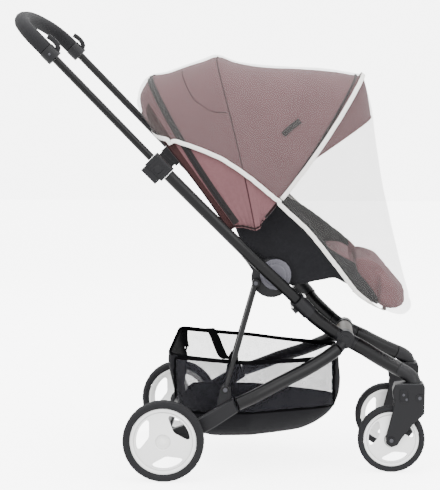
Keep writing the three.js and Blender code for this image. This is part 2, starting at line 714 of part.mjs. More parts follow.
const hoopRow = hoodArches.length - 1;
const lastFront = frontArches.length - 1;

const netHood = (v, u) => archPoint(between(hoodArches, v), u, 0, false);
const netFront = (v, u) => archPoint(between(frontArches, v), u, 0, false);
const seam = 0.04;
const netColumns = 22;
add('net_hood_panel', sheet(netHood, 0, hoopRow - seam, hoopRow, netColumns, netThickness), netMesh);
add('net_front_panel', sheet(netFront, seam, lastFront, lastFront, netColumns, netThickness), netMesh);

// The elastic binding runs once round the net's edge, turning at a corner where the arches bunch.
const backCorner = 2;
const frontCorner = 13;
function bindingStations() {
  const stations = [];
  const put = (surface, v, u, high) => stations.push({
    place: surface(v, u),
    out: outward(surface, v, u, 0, high, 1, 1 / netColumns),
  });
  for (const u of [0, 1]) {
    const near = u === 0;
    const edge = [];
    for (let v = backCorner; v < hoopRow; v += 1) {
      edge.push([netHood, v, hoopRow]);
    }
    for (let v = 0; v <= frontCorner; v += 1) {
      edge.push([netFront, v, lastFront]);
    }
    const ordered = near ? edge : edge.reverse();
    ordered.forEach(([surface, v, high]) => put(surface, v, u, high));
    for (let k = 1; k < netColumns; k += 1) {
      const share = k / netColumns;
      if (near) {
        put(netFront, lastFront, share, lastFront);
      } else {
        put(netHood, 0, 1 - share, hoopRow);
      }
    }
  }
  return stations.map(({ place }, k) => {
    const count = stations.length;
    const out = vector(0, 0, 0);
    for (const step of [-2, -1, 0, 1, 2]) {
      out.add(stations[(k + step + count) % count].out);
    }
    return { place, out: out.normalize() };
  });
}
const bindingLift = netThickness / 2 + 5 * gap;
const archTapeLift = netThickness / 2 + 2 * gap;
const clearThickness = netThickness + 2 * gap;
const bindingStrip = trimmed(
  tape(bindingStations(), bindingWidth, tapeThickness, bindingLift, true),
  sheet(netHood, 0, hoopRow - seam, hoopRow, netColumns, clearThickness),
  sheet(netFront, seam, lastFront, lastFront, netColumns, clearThickness),
);
add('net_edge_binding', bindingStrip, whiteBinding);

// The arch tape covers the seam on the front hoop and stops at the binding.
function archTapeStations() {
  const stations = [];
  const start = 0.0085;
  for (let k = 0; k <= netColumns; k += 1) {
    const u = Math.min(Math.max(k / netColumns, start), 1 - start);
    const out = outward(netHood, hoopRow, u, 0, hoopRow).add(outward(netFront, 0, u, 0, lastFront)).normalize();
    stations.push({ place: netHood(hoopRow, u), out });
  }
  return stations;
}
add('net_arch_tape', tape(archTapeStations(), bindingWidth, tapeThickness, archTapeLift, false), whiteBinding);

// Hood cloth under the net: its own back edge, then the same arches down to their feet.
const hoodRows = [
  [150, 562, 0, 0, -50, 820, 200, 3, 10],
  [158, 568, 0, 0, -58, 866, 200, 3, 2],
  ...hoodArches.slice(4),
];
const zipRow = 2;
const hoodLast = hoodRows.length - 1;
const hood = (v, u) => archPoint(between(hoodRows, v), u, hoodInset, true);
const hoodColumns = 22;
add('hood_shell', sheet(hood, 0, hoodLast - 0.05, hoodLast, hoodColumns, hoodThickness), hoodCloth);

function hoodStations(list) {
  return list.map(([v, u]) => ({ place: hood(v, u), out: outward(hood, v, u, 0, hoodLast) }));
}
const zipPlaces = [];
const zipStart = 0.02;
for (let k = 0; k <= hoodColumns; k += 1) {
  zipPlaces.push([zipRow, Math.min(Math.max(k / hoodColumns, zipStart), 1 - zipStart)]);
}
const zipLift = hoodThickness / 2 + 2 * gap;
add('hood_zip_band', tape(hoodStations(zipPlaces), zipWidth, 1.2, zipLift, false), greyTape);

// A blank tag sewn to the hood's right side.
function placeOnHood(x, z) {
  let best = [0, 0];
  let nearest = Infinity;
  for (let v = 6; v <= hoodLast; v += 0.05) {
    for (let u = 0.02; u < 0.5; u += 0.01) {
      const point = hood(v, u);
      const distance = Math.hypot(point.x - x, point.z - z);
      if (distance < nearest) {
        nearest = distance;
        best = [v, u];
      }
    }
  }
  return best;
}
const tagPlaces = [placeOnHood(268, 773), placeOnHood(286, 789), placeOnHood(304, 805)];
add('hood_tag', tape(hoodStations(tagPlaces), 13, 1, zipLift + gap, false), greyTape);

// Visor: a crescent from the front hoop forward and down.
const visorRows = [
  [224, 585, 328, 722, 453, 904, 204, 3, 12],
  [230, 611, 330, 720, 461, 876, 200, 3, 8],
  [237, 640, 332, 718, 467, 845, 196, 3, 4],
  [243, 662, 334, 716, 472, 815, 192, 3, 0],
];
const visor = (v, u) => archPoint(between(visorRows, v), u, hoodInset, false);
add('hood_visor', sheet(visor, 0, visorRows.length - 1, 3, 14, hoodThickness), hoodCloth);

export default stroller;
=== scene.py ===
import math

import bmesh
import bpy
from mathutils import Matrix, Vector, noise


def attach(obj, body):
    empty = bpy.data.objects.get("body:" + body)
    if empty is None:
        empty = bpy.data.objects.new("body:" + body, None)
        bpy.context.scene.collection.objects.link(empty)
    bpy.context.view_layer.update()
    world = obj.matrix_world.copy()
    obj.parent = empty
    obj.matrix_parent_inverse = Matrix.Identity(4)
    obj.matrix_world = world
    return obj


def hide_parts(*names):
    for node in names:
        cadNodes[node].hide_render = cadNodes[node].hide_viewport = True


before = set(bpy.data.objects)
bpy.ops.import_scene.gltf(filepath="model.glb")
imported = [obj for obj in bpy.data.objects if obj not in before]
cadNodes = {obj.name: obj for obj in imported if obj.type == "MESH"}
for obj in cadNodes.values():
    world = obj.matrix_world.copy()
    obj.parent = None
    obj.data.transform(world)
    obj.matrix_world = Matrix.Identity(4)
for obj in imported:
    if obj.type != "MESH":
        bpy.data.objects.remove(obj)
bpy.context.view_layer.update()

rearAxleX = -118.55  # every table below is in millimetres, with x from the rear axle
mm = 0.001


def place(x, y, z):
    return Vector(((x + rearAxleX) * mm, y * mm, z * mm))


# Camera, light and floor

# The camera looks at the target point from a distance in metres, with angles in degrees.
view = {"azimuth": 2.66, "elevation": 6.27, "distance": 4.7736, "lens": 148.41, "targetX": 115.5, "targetZ": 507.5}
studio = {
    "floorSize": 14, "floorDrop": 0.0006, "floorGlow": 4.9,
    "worldShade": (1.0, 1.0, 1.0), "worldStrength": 2.3, "backdropStrength": 8.0,
    "lightTarget": (0, 0, 0.5),
    "lights": [  # name, place and size in metres, power in watts
        ("keyLight", (-1.6, -2.6, 3.4), 2.6, 92),
        ("fillLight", (2.6, -2.4, 2.2), 2.4, 62),
        ("topLight", (0.2, 0.4, 3.6), 2.6, 110),
        ("backLight", (-0.6, 2.8, 2.0), 2.2, 26),
    ],
}


def aim(thing, target):
    thing.rotation_euler = (target - thing.location).to_track_quat("-Z", "Y").to_euler()


def link(thing):
    bpy.context.scene.collection.objects.link(thing)
    return thing


def makeStudio():
    camera = link(bpy.data.objects.new("viewCamera", bpy.data.cameras.new("viewCamera")))
    camera.data.lens = view["lens"]
    target = place(view["targetX"], 0, view["targetZ"])
    around, up = math.radians(view["azimuth"]), math.radians(view["elevation"])
    back = Vector((math.sin(around) * math.cos(up), -math.cos(around) * math.cos(up), math.sin(up)))
    camera.location = target + back * view["distance"]
    aim(camera, target)
    bpy.context.scene.camera = camera
    for name, where, size, power in studio["lights"]:
        data = bpy.data.lights.new(name, "AREA")
        data.size, data.energy = size, power
        lamp = link(bpy.data.objects.new(name, data))
        lamp.location = where
        aim(lamp, Vector(studio["lightTarget"]))
    world = bpy.data.worlds.new("studioWorld")
    world.use_nodes = True
    tree = world.node_tree
    light = tree.nodes["Background"]
    light.inputs["Color"].default_value = (*studio["worldShade"], 1)
    light.inputs["Strength"].default_value = studio["worldStrength"]
    seen = tree.nodes.new("ShaderNodeBackground")
    seen.inputs["Strength"].default_value = studio["backdropStrength"]
    mix = tree.nodes.new("ShaderNodeMixShader")
    tree.links.new(tree.nodes.new("ShaderNodeLightPath").outputs["Is Camera Ray"], mix.inputs[0])
    tree.links.new(light.outputs[0], mix.inputs[1])
    tree.links.new(seen.outputs[0], mix.inputs[2])
    tree.links.new(mix.outputs[0], tree.nodes["World Output"].inputs["Surface"])
    bpy.context.scene.world = world


makeStudio()
print("camera and light are set")

# Finishes. Colours are as seen on a screen, sizes in millimetres.

finishes = {
    "netMesh": {"kind": "net", "colour": "#626160", "cell": 1.4, "thin": 0.125, "thick": 0.165,
                "roughness": 0.9},
    "bindingTape": {"kind": "weave", "colour": "#e9e6e2", "vary": 0.05, "thread": 1.2, "relief": 0.25,
                    "roughness": 0.85, "sheen": 0.2},
    "hoodCloth": {"kind": "weave", "colour": "#6a4d50", "vary": 0.12, "thread": 0.7, "relief": 0.10,
                  "roughness": 0.82, "sheen": 0.12},
    # a darker copy of hoodCloth for the lower back of the hood: painted shade
    "hoodBackPaintedShade": {"kind": "weave", "colour": "#3b2a2a", "vary": 0.16, "thread": 0.8, "relief": 0.12,
                      "roughness": 0.85, "sheen": 0.08},
    "hoodSeamCloth": {"kind": "weave", "colour": "#3c282b", "vary": 0.10, "thread": 0.8, "relief": 0.12,
                      "roughness": 0.85, "sheen": 0.08},
    "hoodEdgeCloth": {"kind": "weave", "colour": "#221416", "vary": 0.12, "thread": 0.9, "relief": 0.15,
                      "roughness": 0.85, "sheen": 0.2},
    "pinkPadCloth": {"kind": "weave", "colour": "#6f4f52", "vary": 0.12, "thread": 0.8, "relief": 0.15,
                     "roughness": 0.85, "sheen": 0.12},
    "greyTape": {"kind": "weave", "colour": "#2c2929", "vary": 0.10, "thread": 1.0, "relief": 0.2,
                 "roughness": 0.8, "sheen": 0.15},
    "blackCloth": {"kind": "weave", "colour": "#252527", "vary": 0.22, "thread": 0.8, "relief": 0.15,
                   "roughness": 0.85, "sheen": 0.06},
    "basketCloth": {"kind": "weave", "colour": "#1d1d1f", "vary": 0.25, "thread": 0.9, "relief": 0.15,
                    "roughness": 0.8, "sheen": 0.05},
    "basketMesh": {"kind": "net", "colour": "#2c2c30", "cell": 2.2, "thin": 0.27, "thick": 0.46,
                   "roughness": 0.8, "sheen": 0.1},
    "blackTape": {"kind": "weave", "colour": "#131314", "vary": 0.2, "thread": 1.4, "relief": 0.3,
                  "roughness": 0.75, "specular": 0.0},
    "foamGrip": {"kind": "grain", "colour": "#1e1e20", "vary": 0.16, "grain": 0.9, "relief": 0.16,
                 "roughness": 0.93},
    "tyreFoam": {"kind": "grain", "colour": "#1f1f21", "vary": 0.15, "grain": 0.8, "relief": 0.12,
                 "roughness": 0.88},
    "rimPlastic": {"kind": "grain", "colour": "#f2f2f1", "vary": 0.03, "grain": 0.5, "relief": 0.01,
                   "roughness": 0.38, "coat": 0.2},
    "tubeCoat": {"kind": "grain", "colour": "#0d0d0f", "vary": 0.10, "grain": 0.4, "relief": 0.012,
                 "roughness": 0.38, "metallic": 0.3, "coat": 0.1},
    "blackPlastic": {"kind": "grain", "colour": "#131316", "vary": 0.12, "grain": 0.5, "relief": 0.04,
                     "roughness": 0.46},
    "greyPlastic": {"kind": "grain", "colour": "#54535a", "vary": 0.08, "grain": 0.5, "relief": 0.03,
                    "roughness": 0.42},
    "greigePlastic": {"kind": "grain", "colour": "#57524b", "vary": 0.08, "grain": 0.5, "relief": 0.03,
                      "roughness": 0.5},
    "boltSteel": {"kind": "grain", "colour": "#4c4c50", "vary": 0.15, "grain": 0.4, "relief": 0.02,
                  "roughness": 0.35, "metallic": 0.9},
    "paleFloor": {"kind": "grain", "colour": "#f3f3f3", "vary": 0.01, "grain": 6, "roughness": 0.9},
}

finishDetail = {
    "clothGloss": 0.02, "hardGloss": 0.28, "sheenSpread": 0.5, "waveScale": 314, "netEdge": 0.3,
    "slubSize": 24, "slubRange": 0.3, "slubBase": 0.85, "broadPatch": 60, "finePatch": 7, "tintPerVary": 1.6,
    "threadDepth": 0.2, "threadDark": 0.72, "threadLight": 1.12, "roughSpread": 0.07, "bumpStrength": 0.6,
}


def tone(colour, factor=1.0):
    parts = [int(colour[k:k + 2], 16) / 255 for k in (1, 3, 5)]
    return (*[min(1, (part ** 2.2) * factor) for part in parts], 1)


def makeFinish(name, look):
    material = bpy.data.materials.new(name)
    material.use_nodes = True
    nodes, links = material.node_tree.nodes, material.node_tree.links
    shader = nodes["Principled BSDF"]
    shader.inputs["Metallic"].default_value = look.get("metallic", 0)
    shader.inputs["Coat Weight"].default_value = look.get("coat", 0)
    shader.inputs["Sheen Weight"].default_value = look.get("sheen", 0)
    shader.inputs["Sheen Roughness"].default_value = finishDetail["sheenSpread"]
    gloss = finishDetail["hardGloss" if look["kind"] == "grain" else "clothGloss"]
    shader.inputs["Specular IOR Level"].default_value = look.get("specular", gloss)
    where = nodes.new("ShaderNodeTexCoord").outputs["Object"]

    def add(kind, settings, **inputs):
        node = nodes.new(kind)
        for key, value in settings.items():
            setattr(node, key, value)
        for key, value in inputs.items():
            socket = node.inputs[int(key[1:]) if key[0] == "i" and key[1:].isdigit() else key]
            if isinstance(value, bpy.types.NodeSocket):
                links.new(value, socket)
            else:
                socket.default_value = value
        return node

    def cloud(scale, detail):  # soft noise of so many millimetres
        return add("ShaderNodeTexNoise", {}, Vector=where, Scale=1000 / scale, Detail=detail).outputs["Fac"]

    def maths(operation, first, second):
        return add("ShaderNodeMath", {"operation": operation}, i0=first, i1=second).outputs[0]

    if look["kind"] == "weave":
        bands = []
        for direction in ("X", "Y", "Z"):
            wave = add("ShaderNodeTexWave", {"bands_direction": direction}, Vector=where,
                       Scale=finishDetail["waveScale"] / look["thread"])
            bands.append(wave.outputs["Fac"])
        fine = maths("MULTIPLY", maths("ADD", bands[0], bands[2]), maths("ADD", bands[1], 0.6))
    elif look["kind"] == "net":
        cells = add("ShaderNodeTexVoronoi", {"feature": "DISTANCE_TO_EDGE"}, Vector=where, Scale=1000 / look["cell"])
        thread = add("ShaderNodeMapRange", {}, Value=cells.outputs["Distance"])
        thread.inputs["From Max"].default_value = finishDetail["netEdge"]
        thread.inputs["To Min"].default_value = look["thick"]
        thread.inputs["To Max"].default_value = look["thin"]
        fine = thread.outputs["Result"]
        slub = maths("MULTIPLY", cloud(finishDetail["slubSize"], 3), finishDetail["slubRange"])
        alpha = maths("MULTIPLY", fine, maths("ADD", slub, finishDetail["slubBase"]))
        links.new(alpha, shader.inputs["Alpha"])
    else:
        fine = cloud(look["grain"], 5)
    broad, small = cloud(finishDetail["broadPatch"], 4), cloud(finishDetail["finePatch"], 3)
    patches = maths("MULTIPLY", maths("ADD", broad, small), 0.5)
    tint = finishDetail["tintPerVary"] * look.get("vary", 0.05)
    blend = add("ShaderNodeMix", {"data_type": "RGBA"}, i0=patches)
    blend.inputs[6].default_value = tone(look["colour"], 1 - tint)
    blend.inputs[7].default_value = tone(look["colour"], 1 + tint)
    depth = finishDetail["threadDepth"] if look["kind"] == "weave" else 0.0
    threads = add("ShaderNodeMix", {"data_type": "RGBA", "blend_type": "MULTIPLY"}, i0=depth)
    links.new(blend.outputs[2], threads.inputs[6])
    dim = add("ShaderNodeMapRange", {}, Value=fine)
    dim.inputs["To Min"].default_value = finishDetail["threadDark"]
    dim.inputs["To Max"].default_value = finishDetail["threadLight"]
    links.new(dim.outputs["Result"], threads.inputs[7])
    links.new(threads.outputs[2], shader.inputs["Base Color"])
    rough = add("ShaderNodeMapRange", {}, Value=patches)
    rough.inputs["To Min"].default_value = look["roughness"] - finishDetail["roughSpread"]
    rough.inputs["To Max"].default_value = min(1, look["roughness"] + finishDetail["roughSpread"])
    links.new(rough.outputs["Result"], shader.inputs["Roughness"])
    if look.get("relief"):
        bump = add("ShaderNodeBump", {}, Height=fine, Strength=finishDetail["bumpStrength"],
                   Distance=look["relief"] * mm)
        links.new(bump.outputs["Normal"], shader.inputs["Normal"])
    return material


materials = {name: makeFinish(name, look) for name, look in finishes.items()}
print("finishes are made")


def makeFloor():
    half = studio["floorSize"] / 2
    mesh = bpy.data.meshes.new("studioFloor")
    corners = [(-half, -half, 0), (half, -half, 0), (half, half, 0), (-half, half, 0)]
    mesh.from_pydata(corners, [], [(0, 1, 2, 3)])
    floor = link(bpy.data.objects.new("studioFloor", mesh))
    floor.location.z = -studio["floorDrop"]
    floor.visible_diffuse = floor.visible_glossy = False  # its glow stays off the object
    floor.data.materials.append(materials["paleFloor"])
    shader = materials["paleFloor"].node_tree.nodes["Principled BSDF"]
    shader.inputs["Emission Color"].default_value = (1, 1, 1, 1)
    shader.inputs["Emission Strength"].default_value = studio["floorGlow"]


makeFloor()

# Tools that all pieces share


def makePiece(name, points, faces, finish, replaces=()):
    mesh = bpy.data.meshes.new(name)
    mesh.from_pydata([tuple(point) for point in points], [], faces)
    piece = link(bpy.data.objects.new(name, mesh))
    return settle(piece, finish, replaces)


def settle(piece, finish, replaces=()):
    for one in ([finish] if isinstance(finish, str) else finish):
        piece.data.materials.append(materials[one])
    piece.data.polygons.foreach_set("use_smooth", [True] * len(piece.data.polygons))
    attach(piece, "root")
    if replaces:
        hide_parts(*replaces)
    return piece


def modify(piece, kind, **settings):
    modifier = piece.modifiers.new(kind.title(), kind)
    for key, value in settings.items():
        setattr(modifier, key, value)
    return modifier


def smoothEdges(piece, width, angle, segments=2):
    modify(piece, "BEVEL", width=width * mm, segments=segments, limit_method="ANGLE",
           angle_limit=math.radians(angle), harden_normals=True)


def gridFaces(rows, columns, ring=False):
    wide = columns if ring else columns + 1
    faces = []
    for i in range(rows):
        for j in range(columns):
            after = (j + 1) % wide
            faces.append((i * wide + j, i * wide + after, (i + 1) * wide + after, (i + 1) * wide + j))
    return faces


def between(rows, v):
    last = len(rows) - 1
    i = min(int(v), last - 1)
    t = v - i
    a, b, c, d = rows[max(i - 1, 0)], rows[i], rows[i + 1], rows[min(i + 2, last)]
    mixed = []
    for before, here, after, beyond in zip(a, b, c, d):
        slopeStart, slopeEnd, rise = (after - before) / 2, (beyond - here) / 2, after - here
        mixed.append(here + slopeStart * t + (3 * rise - 2 * slopeStart - slopeEnd) * t * t
                     + (slopeStart + slopeEnd - 2 * rise) * t ** 3)
    return mixed


def archPoint(row, u, inset, fromFoot):
    baseX, baseZ, edgeX, edgeZ, apexX, apexZ, half, square, bow = row
    axisX, axisZ = apexX - baseX, apexZ - baseZ
    reach = math.hypot(axisX, axisZ)
    dirX, dirZ = axisX / reach, axisZ / reach
    cut = ((edgeX - baseX) * dirX + (edgeZ - baseZ) * dirZ) / reach
    start = 0 if fromFoot else max(cut, 0)
    startAngle = math.atan2(start, (1 - start ** square) ** (1 / square))
    angle = startAngle + u * (math.pi - 2 * startAngle)
    cos, sin = abs(math.cos(angle)), abs(math.sin(angle))
    radius = (cos ** square + sin ** square) ** (-1 / square)
    height = (reach - inset) * sin * radius
    share = height / reach
    forward = 4 * share * (1 - share) * bow
    side = -math.copysign(1, math.cos(angle))
    return Vector((baseX + dirX * height + dirZ * forward, side * (half - inset) * cos * radius,
                   baseZ + dirZ * height - dirX * forward))


def outward(surface, v, u, high, vStep=0.02, uStep=0.01):
    alongV = surface(min(v + vStep, high), u) - surface(max(v - vStep, 0), u)
    alongU = surface(v, min(u + uStep, 1)) - surface(v, max(u - uStep, 0))
    return alongV.cross(alongU).normalized()


def sheetPiece(name, surface, low, high, rows, columns, thickness, finish, replaces, pucker=None):
    points = []
    for i in range(rows + 1):
        v = low + (high - low) * i / rows
        for j in range(columns + 1):
            u = j / columns
            point = surface(v, u)
            if pucker:
                point = point + outward(surface, v, u, high) * pucker(v, u, point)
            points.append(place(*point))
    piece = makePiece(name, points, gridFaces(rows, columns), finish, replaces)
    modify(piece, "SOLIDIFY", thickness=thickness * mm, offset=0, use_even_offset=False)
    return piece


def ribbonPiece(name, stations, width, thickness, lift, finish, replaces=(), ring=False, ripple=0.0):
    section = [(-0.5, 0.25), (-0.42, 0), (0.42, 0), (0.5, 0.25), (0.5, 0.75),
               (0.42, 1), (0, 1.06), (-0.42, 1), (-0.5, 0.75)]  # shares of the width and thickness
    count = len(stations)
    points = []
    for k, (spot, out) in enumerate(stations):
        ahead = stations[(k + 1) % count if ring else min(k + 1, count - 1)][0]
        behind = stations[(k - 1) % count if ring else max(k - 1, 0)][0]
        along = (ahead - behind).normalized()
        across = out.cross(along).normalized()
        up = along.cross(across).normalized()
        wave = ripple * math.sin(k * 1.9) * math.sin(k * 0.37)
        for a, b in section:
            points.append(place(*(spot + across * (a * width + wave) + up * (lift + b * thickness))))
    rows = count if ring else count - 1
    wide = len(section)
    faces = []
    for k in range(rows):
        first, second = k * wide, ((k + 1) % count) * wide
        faces += [(first + j, first + (j + 1) % wide, second + (j + 1) % wide, second + j) for j in range(wide)]
    if not ring:
        faces += [tuple(range(wide - 1, -1, -1)), tuple(range(rows * wide, rows * wide + wide))]
    return makePiece(name, points, faces, finish, replaces)


def pipePiece(name, route, radius, finish, ring=False, sides=10, ridges=0):
    spots = [Vector(point) for point in route]
    count = len(spots)
    points = []
    side = None
    for k, spot in enumerate(spots):
        ahead = spots[(k + 1) % count if ring else min(k + 1, count - 1)]
        behind = spots[(k - 1) % count if ring else max(k - 1, 0)]
        along = (ahead - behind).normalized()
        side = along.orthogonal().normalized() if side is None else (side - along * side.dot(along)).normalized()
        other = along.cross(side)
        size = radius * (1.1 if ridges and k % ridges == 0 else 1)
        for j in range(sides):
            turn = 2 * math.pi * j / sides
            points.append(place(*(spot + side * size * math.cos(turn) + other * size * math.sin(turn))))
    rows = count if ring else count - 1
    faces = []
    for k in range(rows):
        first, second = k * sides, ((k + 1) % count) * sides
        faces += [(first + j, first + (j + 1) % sides, second + (j + 1) % sides, second + j) for j in range(sides)]
    if not ring:
        faces += [tuple(range(sides - 1, -1, -1)), tuple(range(rows * sides, rows * sides + sides))]
    return makePiece(name, points, faces, finish)


def turnedPiece(name, profile, centre, side, finish, replaces=(), segments=72, tread=None):
    points = []  # profile rows are radius and distance outward, turned round an axle along y
    for radius, out in profile:
        for k in range(segments):
            turn = 2 * math.pi * k / segments
            size = radius + (tread(k, radius, out) if tread else 0)
            points.append(place(centre[0] + size * math.cos(turn), side * (centre[1] + out),
                                centre[2] + size * math.sin(turn)))
    return makePiece(name, points, gridFaces(len(profile) - 1, segments, True), finish, replaces)


def copyNode(name, node, finish, voxel):
    piece = link(bpy.data.objects.new(name, cadNodes[node].data.copy()))
    piece.data.materials.clear()
    work = bmesh.new()
    work.from_mesh(piece.data)
    bmesh.ops.remove_doubles(work, verts=work.verts, dist=1e-5)
    work.to_mesh(piece.data)
    work.free()
    dropNormals(piece)
    modify(piece, "REMESH", mode="VOXEL", voxel_size=voxel * mm)
    applyAll(piece)
    return settle(piece, finish, (node,))


def dropNormals(piece):
    if "custom_normal" in piece.data.attributes:
        piece.data.attributes.remove(piece.data.attributes["custom_normal"])


def applyAll(piece):
    held = bpy.context.evaluated_depsgraph_get()
    mesh = bpy.data.meshes.new_from_object(piece.evaluated_get(held))
    piece.modifiers.clear()
    piece.data = mesh


def swell(piece, pressure, cap, frames=20):
    start = [vertex.co.copy() for vertex in piece.data.vertices]
    modifier = modify(piece, "CLOTH")
    modifier.settings.use_pressure = True
    modifier.settings.uniform_pressure_force = pressure
    modifier.settings.effector_weights.gravity = 0
    modifier.point_cache.frame_start, modifier.point_cache.frame_end = 1, frames
    for step in range(1, frames + 1):
        bpy.context.scene.frame_set(step)
    held = bpy.context.evaluated_depsgraph_get()
    moved = [vertex.co.copy() for vertex in piece.evaluated_get(held).data.vertices]
    piece.modifiers.remove(modifier)
    for vertex, before, after in zip(piece.data.vertices, start, moved):
        step = after - before
        if step.length > cap * mm:
            step *= cap * mm / step.length
        vertex.co = before + step
    bpy.context.scene.frame_set(1)


def crease(value, centre, width):
    return math.exp(-((value - centre) / width) ** 2)


# Mosquito net. Rows give, in mm: foot x and z, edge x and z, top x and z, half width, squareness, bow.

hoodArches = [
    [8, 766, 8, 766, -37, 779, 188, 2.3, 0],
    [60, 702, 13, 766, -74, 836, 199, 2.4, 0],
    [110, 640, 19, 764, -75, 860, 202, 2.6, 0],
    [140, 600, 21, 764, -67, 886, 203, 2.8, -2],
    [163, 575, 45, 761, -47, 907, 201, 3, -6],
    [178, 568, 82, 745, -10, 916, 200, 3, -2],
    [190, 565, 123, 725, 36, 932, 200, 3, 2],
    [199, 563, 153, 705, 75, 945, 202, 3, 5],
    [205, 562, 173, 691, 108, 955, 205, 3, 6],
    [215, 567, 196, 677, 150, 941, 202, 3, 3],
    [217, 572, 214, 663, 205, 932, 200, 3, 2],
    [217, 575, 229, 650, 275, 928, 200, 3, 4],
    [218, 579, 243, 639, 360, 923, 202, 3, 8],
    [220, 583, 254, 633, 449, 910, 205, 3, 12],
]
frontArches = [
    hoodArches[13],
    [240, 600, 270, 615, 456, 886, 204, 3, 9],
    [274, 590, 289, 597, 464, 856, 202, 3, 6],
    [309, 577, 309, 577, 471, 823, 199, 3, 3],
    [331, 554, 331, 554, 476, 785, 196, 3, 0],
    [350, 531, 350, 531, 482, 740, 193, 3, 0],
    [367, 509, 367, 509, 490, 692, 190, 3, 0],
    [380, 492, 380, 492, 499, 643, 187, 3, 0],
    [391, 478, 391, 478, 510, 594, 184, 3.1, 0],
    [402, 463, 402, 463, 521, 547, 181, 3.2, 0],
    [411, 451, 411, 451, 532, 502, 178, 3.3, 0],
    [419, 440, 419, 440, 543, 459, 175, 3.4, 0],
    [426, 431, 426, 431, 553, 421, 173, 3.6, 0],
    [430, 426, 430, 426, 561, 390, 171, 3.8, 0],
    [432, 423, 432, 423, 565, 377, 170, 4, 0],
    [433.5, 421, 433.5, 421, 559, 365, 169, 4, 0],
    [434.5, 419.5, 434.5, 419.5, 545, 358, 168, 4, 0],
    [435.2, 418.5, 435.2, 418.5, 522, 363, 168, 4, 0],
    [436, 417.5, 436, 417.5, 503, 372, 168, 4, 0],
]
hoopRow, lastFront = len(hoodArches) - 1, len(frontArches) - 1
net = {"thickness": 1.2, "binding": 10, "tape": 1.6, "seam": 0.04, "hoodSteps": 52, "frontSteps": 72, "columns": 72,
       "pucker": 0.7, "bindingLift": 0.9, "tapeLift": 0.6, "backCorner": 2, "frontCorner": 13,
       "hoodFlat": (0.62, 0.78), "hoodArea": 0.36, "frontFlat": (0.60, 0.80), "frontArea": 0.33}


def netHood(v, u):
    return archPoint(between(hoodArches, v), u, 0, False)


def netFront(v, u):
    return archPoint(between(frontArches, v), u, 0, False)


def netPucker(v, u, point):
    edge = min(u, 1 - u)
    gathers = math.exp(-edge * 26) * math.sin(v * 15) * 0.8
    pull = noise.noise(Vector((point.x, point.y * 0.6, point.z)) * 0.016) * 1.1
    return net["pucker"] * (gathers + pull)


def bindingStations():
    stations, columns = [], net["columns"]
    for u in (0, 1):
        edge = [(netHood, net["backCorner"] + k / 3, hoopRow) for k in range(3 * (hoopRow - net["backCorner"]))]
        edge += [(netFront, k / 3, lastFront) for k in range(3 * net["frontCorner"] + 1)]
        for surface, v, high in (edge if u == 0 else edge[::-1]):
            stations.append((surface(v, u), outward(surface, v, u, high, 1, 1 / 24)))
        for k in range(2, columns - 1):
            share = k / columns
            surface, v, high = (netFront, lastFront, lastFront) if u == 0 else (netHood, 0, hoopRow)
            w = share if u == 0 else 1 - share
            stations.append((surface(v, w), outward(surface, v, w, high, 1, 1 / 24)))
    count = len(stations)
    near = range(-6, 7)  # the tape's tilt is evened out over these stations
    return [(spot, sum((stations[(k + step) % count][1] for step in near), Vector()).normalized())
            for k, (spot, out) in enumerate(stations)]


def makeNet():
    columns, thickness = net["columns"], net["thickness"]
    hoodNet = sheetPiece("netOverHood", netHood, 0, hoopRow - net["seam"], net["hoodSteps"], columns, thickness,
                         "netMesh", ("net_hood_panel",), netPucker)
    frontNet = sheetPiece("netOverFront", netFront, net["seam"], lastFront, net["frontSteps"], columns, thickness,
                          "netMesh", ("net_front_panel",), netPucker)
    binding = ribbonPiece("netBinding", bindingStations(), net["binding"], net["tape"],
                          thickness / 2 + net["bindingLift"], "bindingTape",
                          ("net_edge_binding",), ring=True, ripple=0.5)
    arch = []
    for k in range(columns + 1):
        u = min(max(k / columns, 0.006), 0.994)  # just short of the net's edges
        out = outward(netHood, hoopRow, u, hoopRow) + outward(netFront, 0, u, lastFront)
        arch.append((netHood(hoopRow, u), out.normalized()))
    archTape = ribbonPiece("netArchTape", arch, net["binding"], net["tape"], thickness / 2 + net["tapeLift"],
                           "bindingTape", ("net_arch_tape",), ripple=0.3)


makeNet()
print("net is made")

# Hood, with its zip, tag, seams and visor. Its rows follow the net's.

hoodTop = {
    "inset": 5.5, "thickness": 2, "rows": 66, "columns": 72, "piping": 1.7, "paintedShadeDepth": 0.3,
    "zipRow": 2, "zipWidth": 15, "tagWidth": 13, "tagFrom": (268, 773), "tagTo": (304, 805),
    "vent": [(31, 918), (38, 898), (59, 863), (82, 842), (105, 831), (140, 829)],  # x and z along the curved seam
    "flat": (0.62, 0.86), "area": 0.38, "visorFlat": (0.10, 0.52), "visorArea": 0.036,
}
hoodRows = [
    [146, 560, 0, 0, -68, 826, 200, 3, 10],
    [156, 567, 0, 0, -72, 868, 200, 3, 2],
    [163, 568, *hoodArches[4][2:]],
    *hoodArches[5:],
]
hoodLast = len(hoodRows) - 1
visorRows = [
    [224, 585, 328, 722, 453, 904, 204, 3, 12],
    [230, 611, 330, 720, 461, 876, 200, 3, 8],
    [237, 640, 332, 718, 467, 845, 196, 3, 4],
    [243, 662, 334, 716, 472, 815, 192, 3, 0],
]


def hood(v, u):
    return archPoint(between(hoodRows, v), u, hoodTop["inset"], True)


def visor(v, u):
    return archPoint(between(visorRows, v), u, hoodTop["inset"], False)


def hoodPucker(v, u, point):
    seams = -1.1 * crease(v, 6, 0.10) - 0.8 * crease(v, 2.55, 0.12) - 0.8 * crease(v, 1.45, 0.12)
    edge = min(u, 1 - u)
    drawn = 0.8 * math.exp(-edge * 14) * math.sin(v * 7.5)
    slack = 1.5 * noise.noise(Vector((point.x * 0.02, point.y * 0.009, point.z * 0.011)))
    return seams + drawn + slack - 0.6


